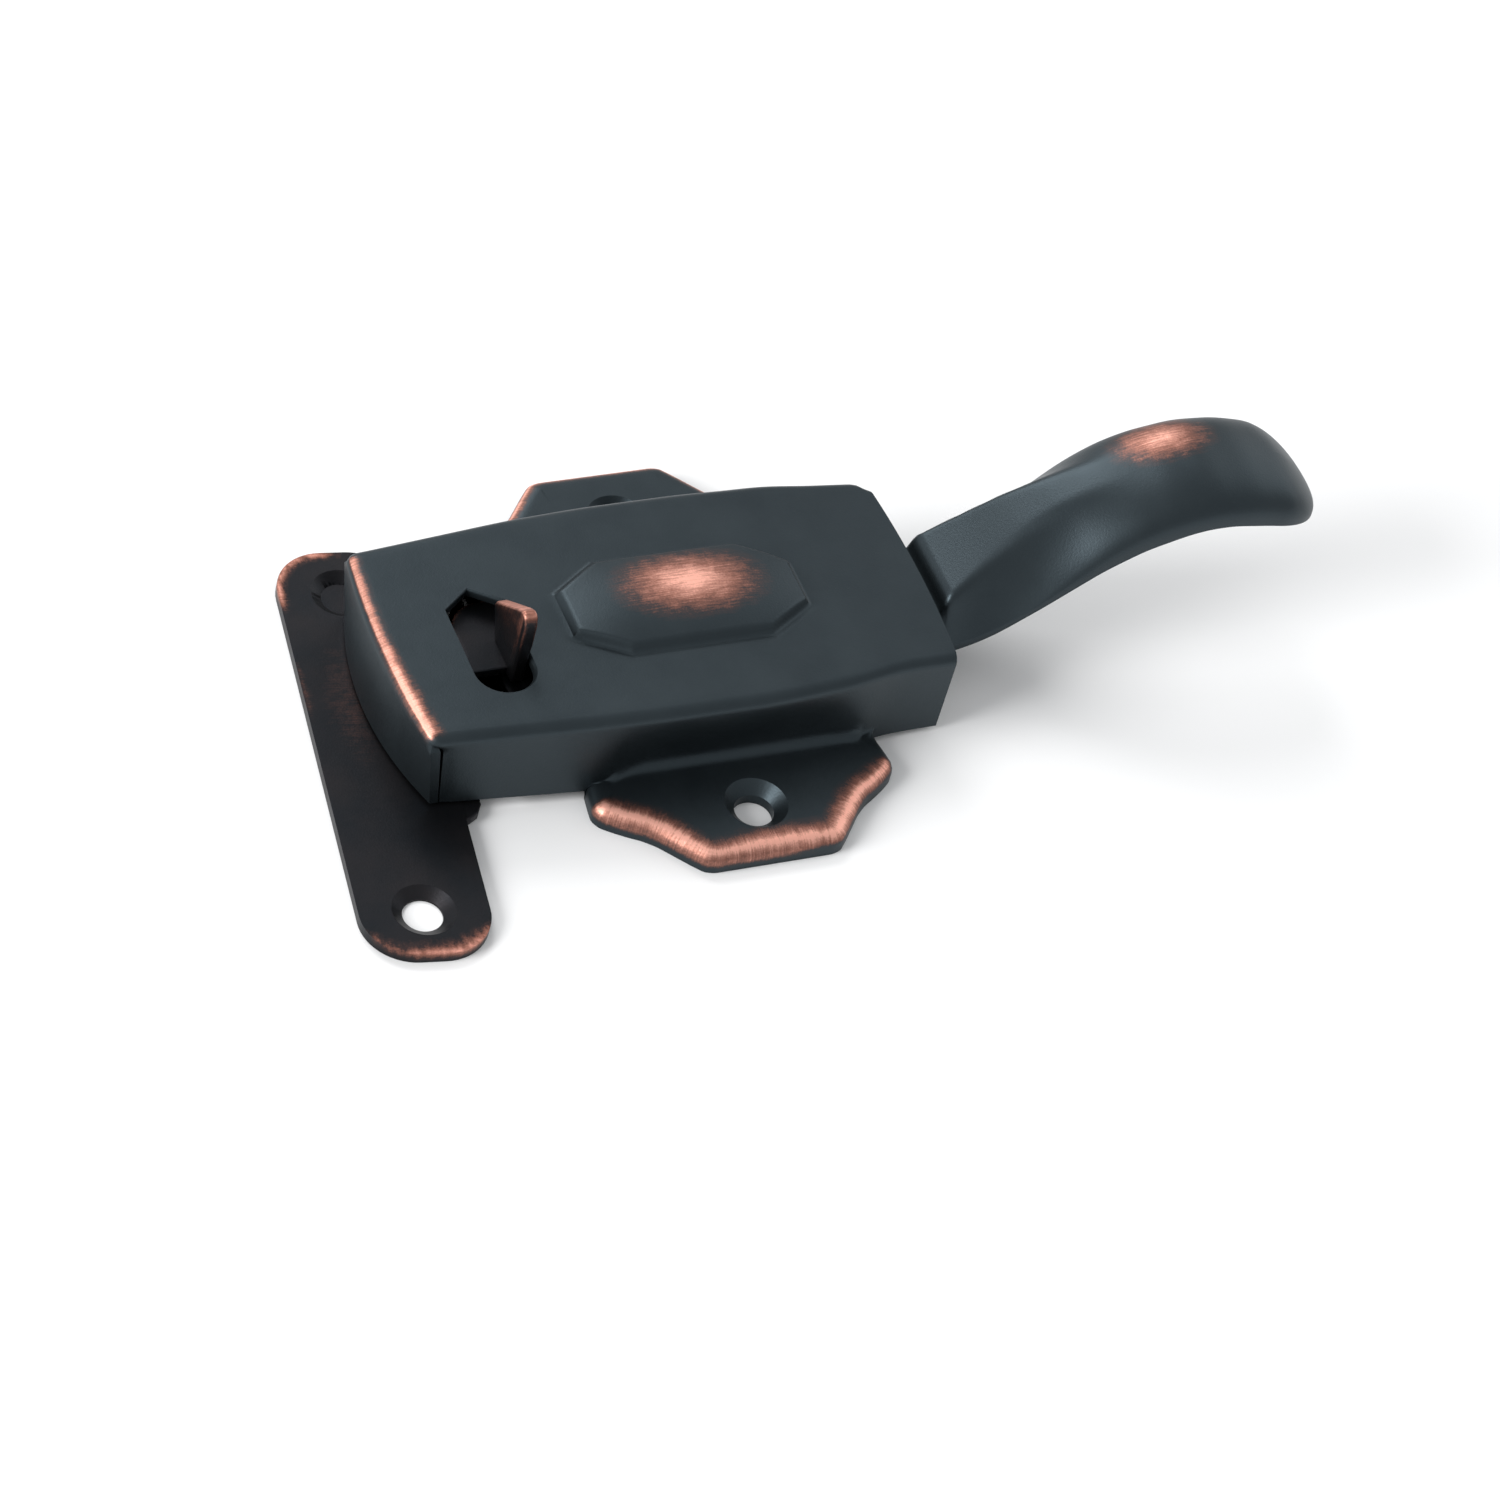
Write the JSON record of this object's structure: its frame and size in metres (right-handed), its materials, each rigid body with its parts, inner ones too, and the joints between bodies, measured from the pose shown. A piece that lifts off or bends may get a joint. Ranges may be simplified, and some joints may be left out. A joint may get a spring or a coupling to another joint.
{
  "type": "toggle bolt latch",
  "caption": "Surface cabinet latch: pressed cover with two scalloped ears, spring bolt worked by a lifting handle, thumb lock slide, and a flat strike with a folded keeper.",
  "frame": {"origin": "on the door face, midway between the two ear screw holes", "axes": "+X from the strike end to the handle, +Y across the latch to the rear ear, +Z away from the door"},
  "size_m": [0.1098, 0.0562, 0.0222],
  "materials": {
    "bronze": "oil-rubbed bronze, satin, with copper showing at worn edges",
    "dark_bronze": "darker mottled oil-rubbed bronze",
    "plated_steel": "zinc-plated pressed steel",
    "spring_steel": "hardened spring steel"
  },
  "bodies": {
    "case": {"cover": "bronze", "base_plate": "plated_steel", "handle_pin": "plated_steel", "pin_clip_front": "spring_steel", "pin_clip_rear": "spring_steel", "spring_rod": "plated_steel", "rod_clip": "spring_steel", "bolt_spring": "spring_steel", "lock_bridge": "dark_bronze", "bridge_rivet_front": "plated_steel", "bridge_rivet_rear": "plated_steel"},
    "handle": {"handle": "bronze", "handle_arm": "plated_steel", "arm_roller": "plated_steel"},
    "bolt": {"bolt_plate": "dark_bronze", "bolt_nose": "dark_bronze", "nose_rivet_front": "plated_steel", "nose_rivet_rear": "plated_steel"},
    "lock": {"lock_slide": "dark_bronze"},
    "strike": {"strike": "dark_bronze"}
  },
  "joints": [
    {"name": "handle_lift", "type": "hinge", "parent": "case", "child": "handle", "pos_m": [0.0202, 0, 0.0044], "axis": [0, -1, 0], "range_deg": [0, 12.5]},
    {"name": "bolt_slide", "type": "slide", "parent": "case", "child": "bolt", "axis": [1, 0, 0], "range_m": [0, 0.00273], "stiffness_N_per_m": 15, "springref_m": -0.008, "deforming": ["bolt_spring"]},
    {"name": "lock_shift", "type": "slide", "parent": "case", "child": "lock", "axis": [0, 1, 0], "range_m": [-0.0015, 0.0013]},
    {"name": "strike_release", "type": "slide", "parent": "case", "child": "strike", "axis": [0, 0, -1], "range_m": [0, 0.012]}
  ],
  "couplings": [
    {"joint": "bolt_slide", "follows": "handle_lift", "m_per_rad": 0.0125}
  ]
}
